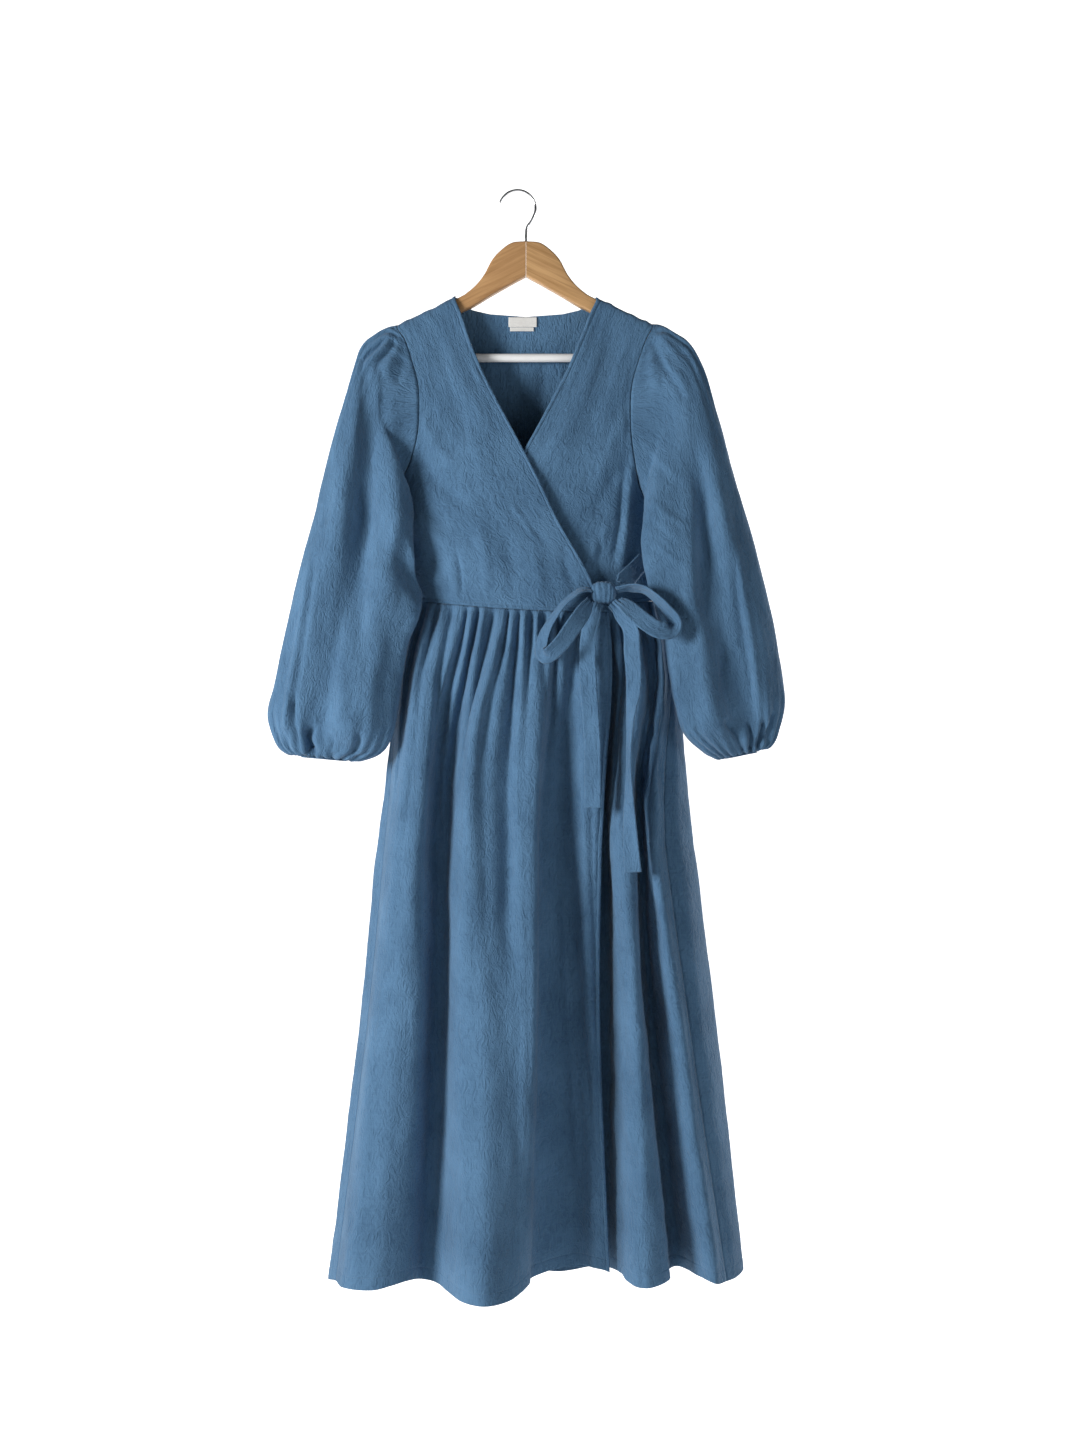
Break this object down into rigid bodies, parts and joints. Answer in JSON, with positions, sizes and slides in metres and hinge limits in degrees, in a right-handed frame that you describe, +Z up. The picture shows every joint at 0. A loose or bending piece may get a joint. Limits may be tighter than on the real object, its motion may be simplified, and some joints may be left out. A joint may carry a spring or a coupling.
{
  "type": "wrap dress on hanger",
  "caption": "Long-sleeved wrap dress with a gathered skirt and a side bow, hanging on a wooden hanger with a wire hook",
  "frame": {"origin": "The inside top of the hook, where a rail or a peg holds the hanger", "axes": "+X to the right as seen from the front, the front faces -Y, +Z up along the dress's length"},
  "size_m": [0.6724, 0.1722, 1.4365],
  "materials": {
    "cloth": "matte, washed and lightly crinkled",
    "cloth_back": "matte, washed and lightly crinkled",
    "wood_left": "satin varnish",
    "wood_right": "satin varnish",
    "wire": "polished",
    "bar": "satin white",
    "label": "smooth woven tape, left bare"
  },
  "bodies": {
    "root": {"hanger_arm_left": "wood_left", "hanger_arm_right": "wood_right", "hanger_hook": "wire", "hanger_bar": "bar", "back_bodice": "cloth_back", "front_bodice_over": "cloth", "front_bodice_under": "cloth", "skirt_front_over": "cloth", "skirt_back": "cloth_back", "skirt_front_under": "cloth", "sleeve_left": "cloth", "sleeve_right": "cloth", "cuff_left": "cloth", "cuff_right": "cloth", "tie_knot": "cloth", "bow_loop_left": "cloth", "bow_loop_right": "cloth", "tie_tail_left": "cloth", "tie_tail_right": "cloth", "tie_strap": "cloth", "label_main": "label", "label_size": "label"}
  },
  "joints": []
}
